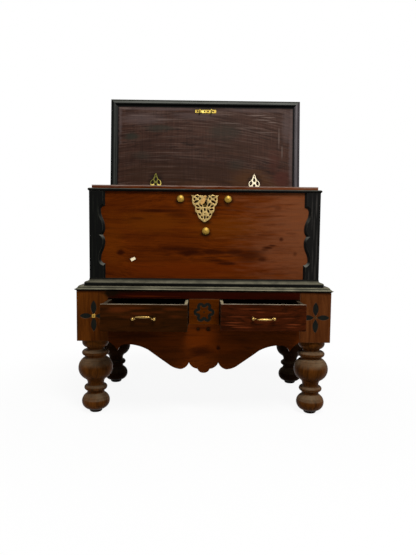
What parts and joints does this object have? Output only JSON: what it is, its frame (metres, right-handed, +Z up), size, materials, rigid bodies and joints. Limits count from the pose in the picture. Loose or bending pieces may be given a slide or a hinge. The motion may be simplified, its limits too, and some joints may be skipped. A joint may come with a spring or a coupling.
{
  "type": "dowry chest on stand",
  "caption": "Plank dowry chest with open hinged lid, scalloped corner pilasters and brass escutcheon, on a stand with part-open drawers, shaped apron and turned legs.",
  "frame": {"origin": "on the floor, under the middle of the bounding box of the piece as posed, lid open and both drawers part open", "axes": "+X to the right seen from the front, +Y from the front to the back, +Z up; the front faces -Y"},
  "size_m": [1.0928, 0.8034, 1.4804],
  "materials": {
    "apron_wood": "dark red-brown varnish",
    "black_wood": "ebonised, satin",
    "brass": "aged, warm",
    "case_wood": "reddish-brown varnish",
    "drawer_front_wood": "very dark brown varnish",
    "drawer_inner_wood": "dark unpolished",
    "inlay_wood": "dark stained inlay",
    "inner_wood": "dark unpolished",
    "leg_wood": "dark brown varnish with dusty greyish wear",
    "lid_wood": "dark purple-brown, satin",
    "stand_wood": "orange-brown varnish",
    "steel": "aged"
  },
  "bodies": {
    "root": {"base_moulding_front": "black_wood", "base_moulding_sides": "black_wood", "case_back_board": "case_wood", "case_bottom_board": "inner_wood", "case_front_board": "case_wood", "case_side_left": "case_wood", "case_side_right": "case_wood", "case_studs": "brass", "cover_rivet": "brass", "drawer_runners": "inner_wood", "escutcheon": "brass", "hinge_left_case_leaf": "brass", "hinge_pins": "steel", "hinge_right_case_leaf": "brass", "leg_front_left": "leg_wood", "leg_front_right": "leg_wood", "leg_rear_left": "leg_wood", "leg_rear_right": "leg_wood", "lock_case": "brass", "pilaster_left": "black_wood", "pilaster_right": "black_wood", "rim_moulding_front": "black_wood", "rim_moulding_sides": "black_wood", "rosette_inlay": "inlay_wood", "stand_apron": "apron_wood", "stand_back": "inner_wood", "stand_corner_blocks": "inner_wood", "stand_middle_block": "stand_wood", "stand_side_left": "stand_wood", "stand_side_right": "stand_wood", "stand_stile_left": "stand_wood", "stand_stile_right": "stand_wood", "stand_top_board": "stand_wood", "stand_top_rail": "stand_wood", "stile_boss": "brass", "stile_inlays": "inlay_wood", "waist_moulding_front": "black_wood", "waist_moulding_sides": "black_wood"},
    "lid": {"hinge_left_lid_leaf": "brass", "hinge_right_lid_leaf": "brass", "lid_panel": "lid_wood", "lid_rail_back": "black_wood", "lid_rail_front": "black_wood", "lid_rail_left": "black_wood", "lid_rail_right": "black_wood", "strike_plate": "brass"},
    "drawer_left": {"drawer_left_back": "drawer_inner_wood", "drawer_left_bottom": "drawer_inner_wood", "drawer_left_front": "drawer_front_wood", "drawer_left_handle_posts": "brass", "drawer_left_sides": "drawer_inner_wood"},
    "drawer_right": {"drawer_right_back": "drawer_inner_wood", "drawer_right_bottom": "drawer_inner_wood", "drawer_right_front": "drawer_front_wood", "drawer_right_handle_posts": "brass", "drawer_right_sides": "drawer_inner_wood"},
    "bail_left": {"drawer_left_bail": "brass"},
    "bail_right": {"drawer_right_bail": "brass"},
    "keyhole_cover": {"keyhole_cover": "brass"},
    "lock_bolt": {"lock_bolt": "brass"}
  },
  "joints": [
    {"name": "lid_hinge", "type": "hinge", "parent": "root", "child": "lid", "pos_m": [0, 0.3323, 0.9823], "axis": [1, 0, 0], "range_deg": [0, 94.6]},
    {"name": "drawer_left_slide", "type": "slide", "parent": "root", "child": "drawer_left", "axis": [0, -1, 0], "range_m": [-0.1715, 0.19]},
    {"name": "drawer_right_slide", "type": "slide", "parent": "root", "child": "drawer_right", "axis": [0, -1, 0], "range_m": [-0.1415, 0.22]},
    {"name": "bail_left_swing", "type": "hinge", "parent": "drawer_left", "child": "bail_left", "pos_m": [-0.2345, -0.375, 0.449], "axis": [1, 0, 0], "range_deg": [-81, 135]},
    {"name": "bail_right_swing", "type": "hinge", "parent": "drawer_right", "child": "bail_right", "pos_m": [0.2345, -0.345, 0.449], "axis": [1, 0, 0], "range_deg": [-105, 111]},
    {"name": "keyhole_cover_swing", "type": "hinge", "parent": "root", "child": "keyhole_cover", "pos_m": [-0.0005, -0.16065, 0.935], "axis": [0, 1, 0], "range_deg": [-116, 64]},
    {"name": "lock_bolt_slide", "type": "slide", "parent": "root", "child": "lock_bolt", "axis": [1, 0, 0], "range_m": [0, 0.012]}
  ]
}
